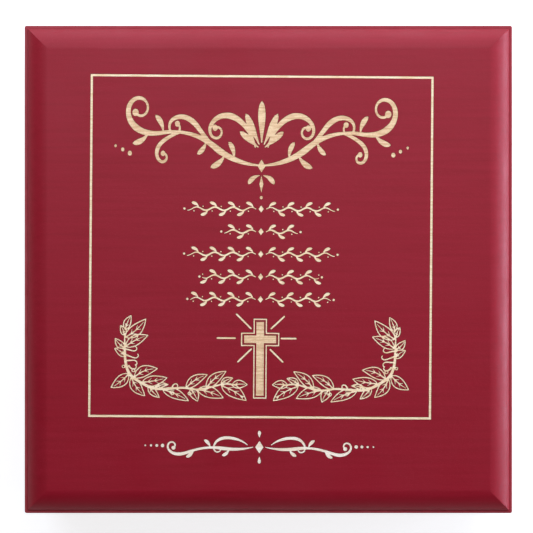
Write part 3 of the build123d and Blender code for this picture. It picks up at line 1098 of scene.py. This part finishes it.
def add_screw(mesh, x, y, top, up, length, turn):
    """A countersunk screw with its head at that height, its cross turned by some degrees."""
    def ring(radius, depth):
        return [
            mesh.verts.new((x + radius * cos(a), y + radius * sin(a), top - up * depth))
            for a in (2 * pi * k / SCREW_SIDES for k in range(SCREW_SIDES))
        ]

    def cross_ring(arm, half, depth):
        verts = []
        for quarter in range(4):
            for px, py in ((arm, -half), (arm, half), (half, half)):
                px, py = turned(px, py, radians(turn + 90 * quarter))
                verts.append(mesh.verts.new((x + px, y + py, top - up * depth)))
        return verts

    rim = ring(HEAD_RADIUS - HEAD_EASE, 0)
    mouth = cross_ring(CROSS_ARM, CROSS_HALF, 0)
    foot = cross_ring(CROSS_ARM * CROSS_ARM_TAPER, CROSS_HALF * CROSS_HALF_TAPER, CROSS_DEPTH)
    corners = rim + mouth
    for triangle in tessellate_polygon([[v.co for v in rim], [v.co for v in mouth]]):
        mesh.faces.new([corners[k] for k in triangle])
    bridge(mesh, foot, mouth)
    mesh.faces.new(foot)
    rings = [rim, ring(HEAD_RADIUS, HEAD_EASE), ring(SHANK_RADIUS, HEAD_RADIUS - SHANK_RADIUS)]
    depth = HEAD_RADIUS - SHANK_RADIUS + THREAD_PITCH
    while depth < length - 1.5 * THREAD_PITCH:
        rings.append(ring(SHANK_RADIUS - THREAD_DEPTH, depth))
        rings.append(ring(SHANK_RADIUS, depth + THREAD_PITCH / 2))
        depth += THREAD_PITCH
    rings += [ring(SHANK_RADIUS - THREAD_DEPTH, depth), ring(TIP_RADIUS, length)]
    for upper, lower in zip(rings, rings[1:]):
        bridge(mesh, lower, upper)
    mesh.faces.new(rings[-1])


def make_screws(hand, leaf_body, up, turns):
    """The two screws of a hinge leaf, their heads up (1) or down (-1)."""
    node = f"{hand}_hinge_{leaf_body}_screws"
    low, high = cad_corners(node)
    top = high.z if up > 0 else low.z
    mesh = bmesh.new()
    for x, turn in zip((low.x + HEAD_RADIUS, high.x - HEAD_RADIUS), turns):
        add_screw(mesh, x, (low.y + high.y) / 2, top, up, high.z - low.z, turn)
    bmesh.ops.recalc_face_normals(mesh, faces=mesh.faces)
    piece(f"{hand}_{leaf_body}_cross_head_screws", mesh, [SCREW_BRASS], leaf_body, node)


make_screws("left", "base", 1, (12, 57))
make_screws("left", "lid", -1, (35, 80))
make_screws("right", "base", 1, (74, 28))
make_screws("right", "lid", -1, (5, 49))


# Materials of the CAD nodes that stay
def dress(name, material):
    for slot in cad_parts[name].material_slots:
        slot.material = material


for side in SIDES:
    wood = LACQUER_X if side in ("front", "back") else LACQUER_Y
    dress(f"base_{side}_wall", wood)
    dress(f"lid_{side}_rail", wood)
dress("bottom_panel", LACQUER_X)
for hand in ("left", "right"):
    for part in ("base_leaf", "lid_leaf", "pin"):
        dress(f"{hand}_hinge_{part}", BRASS)


# Camera: straight down on the lid, with a long lens. The width of its field is that at the height
# of the lid's edge.
FIELD_WIDTH = 222.2
LENS, SENSOR = 115.0, 36.0
CAMERA_X, CAMERA_Y = -0.78, 1.22
EDGE_HEIGHT = 70.5


def make_camera():
    data = bpy.data.cameras.new("camera")
    data.lens = LENS
    data.sensor_width = SENSOR
    camera = add_object("camera", data)
    distance = FIELD_WIDTH / SENSOR * LENS
    camera.location = (CAMERA_X * MM, CAMERA_Y * MM, (EDGE_HEIGHT + distance) * MM)
    bpy.context.scene.camera = camera


make_camera()

# Lamps, all turned to the middle of the lid. Those named _fill don't show in reflections, and
# those named _shine show in nothing else.
LID_MIDDLE = (0, 0, 0.07)
SOFT_WHITE = (0.86, 0.88, 1.0)
BACK_WHITE = (0.74, 0.84, 1.0)
SIDE_WHITE = (0.77, 0.79, 1.0)
LAMPS = (
    # name, place, size, power of its green light, and colour
    ("high_softbox", (0.0, 0.28, 0.72), (0.9, 0.3), 3.1, SOFT_WHITE),
    ("back_softbox", (0.0, 0.55, 0.45), (1.2, 0.35), 3.1, BACK_WHITE),
    ("back_card", (0.0, 0.9, 0.16), (1.1, 0.28), 2.9, BACK_WHITE),
    ("back_shine", (0.0, 0.7, 0.3), (1.1, 0.3), 2.0, BACK_WHITE),
    ("right_fill", (0.85, 0.05, 0.17), (0.5, 0.28), 5.6, SIDE_WHITE),
    ("right_shine", (0.87, 0.05, 0.145), (0.7, 0.10), 6.6, SIDE_WHITE),
    ("right_panel", (0.62, 0.05, 0.45), (0.5, 0.35), 1.0, BACK_WHITE),
    ("left_fill", (-0.9, 0.0, 0.2), (1.2, 0.6), 0.6, SOFT_WHITE),
    ("front_fill", (0.0, -0.9, 0.14), (1.2, 0.6), 1.2, SOFT_WHITE),
)


def make_lamp(name, place, size, power, colour):
    data = bpy.data.lights.new(name, "AREA")
    data.shape = "RECTANGLE"
    data.size, data.size_y = size
    data.energy = power / colour[1]
    data.color = colour
    made = add_object(name, data)
    made.location = place
    made.rotation_mode = "QUATERNION"
    made.rotation_quaternion = (Vector(LID_MIDDLE) - Vector(place)).to_track_quat("-Z", "Y")
    made.visible_camera = False
    made.visible_glossy = not name.endswith("_fill")
    made.visible_diffuse = not name.endswith("_shine")


for entry in LAMPS:
    make_lamp(*entry)

# Floor and surroundings: white to the camera, with the box's shadow kept. The floor's own glow
# grows with the distance from the box, where the lamps no longer light it.
FLOOR_SIZE = 8.0
FLOOR_TONE = tone(176, 176, 176)
NEAR_GLOW, FAR_GLOW = 0.78, 1.0
NEAR_REACH, FAR_REACH = 0.35, 0.9

# The surroundings are white round the horizon and dimmer overhead, from one height of a ray's
# heading to the other. As plain light on the object they are dimmer still.
WHITE_BELOW, DIM_ABOVE = 0.10, 0.50
OVERHEAD_LIGHT, PLAIN_LIGHT = 0.08, 0.12


def seen_directly(tree):
    """A socket that is 1 for rays that show the background: camera, glossy and transmission."""
    path = tree.nodes.new("ShaderNodeLightPath")
    total = path.outputs["Is Camera Ray"]
    for output in ("Is Glossy Ray", "Is Transmission Ray"):
        joined = tree.nodes.new("ShaderNodeMath")
        joined.operation = "MAXIMUM"
        tree.links.new(total, joined.inputs[0])
        tree.links.new(path.outputs[output], joined.inputs[1])
        total = joined.outputs[0]
    return total


def make_floor():
    mesh = bmesh.new()
    bmesh.ops.create_grid(mesh, x_segments=8, y_segments=8, size=FLOOR_SIZE)
    data = bpy.data.meshes.new("floor")
    mesh.to_mesh(data)
    mesh.free()
    paint = Paint("white_floor")
    paint.shade(Base_Color=FLOOR_TONE, Roughness=0.9, Specular_IOR_Level=0.0)
    far = paint.node("ShaderNodeVectorMath", {0: paint.place}, operation="LENGTH").outputs["Value"]
    strength = paint.between(far, NEAR_REACH, FAR_REACH, NEAR_GLOW, FAR_GLOW)
    plain = paint.shader.outputs[0]
    glow = paint.node("ShaderNodeEmission", {"Color": (1, 1, 1, 1), "Strength": strength})
    lit = paint.node("ShaderNodeAddShader", {0: plain, 1: glow.outputs[0]})
    mixed = paint.node("ShaderNodeMixShader", {
        0: seen_directly(paint.tree), 1: plain, 2: lit.outputs[0],
    })
    paint.put(paint.tree.nodes["Material Output"].inputs["Surface"], mixed.outputs[0])
    data.materials.append(paint.material)
    add_object("floor", data)


def make_world():
    world = bpy.data.worlds.new("studio")
    world.use_nodes = True
    bpy.context.scene.world = world
    sky = world.node_tree
    background = sky.nodes["Background"]
    background.inputs["Color"].default_value = (1, 1, 1, 1)
    heading = sky.nodes.new("ShaderNodeSeparateXYZ")
    sky.links.new(sky.nodes.new("ShaderNodeTexCoord").outputs["Generated"], heading.inputs[0])
    overhead = sky.nodes.new("ShaderNodeMapRange")
    for key, value in {
        "From Min": WHITE_BELOW, "From Max": DIM_ABOVE, "To Min": 1.0, "To Max": OVERHEAD_LIGHT,
    }.items():
        overhead.inputs[key].default_value = value
    sky.links.new(heading.outputs[2], overhead.inputs["Value"])
    strength = sky.nodes.new("ShaderNodeMix")
    strength.inputs[2].default_value = PLAIN_LIGHT
    sky.links.new(seen_directly(sky), strength.inputs[0])
    sky.links.new(overhead.outputs[0], strength.inputs[3])
    sky.links.new(strength.outputs[0], background.inputs["Strength"])


make_floor()
make_world()
bpy.context.scene.view_settings.view_transform = "Standard"
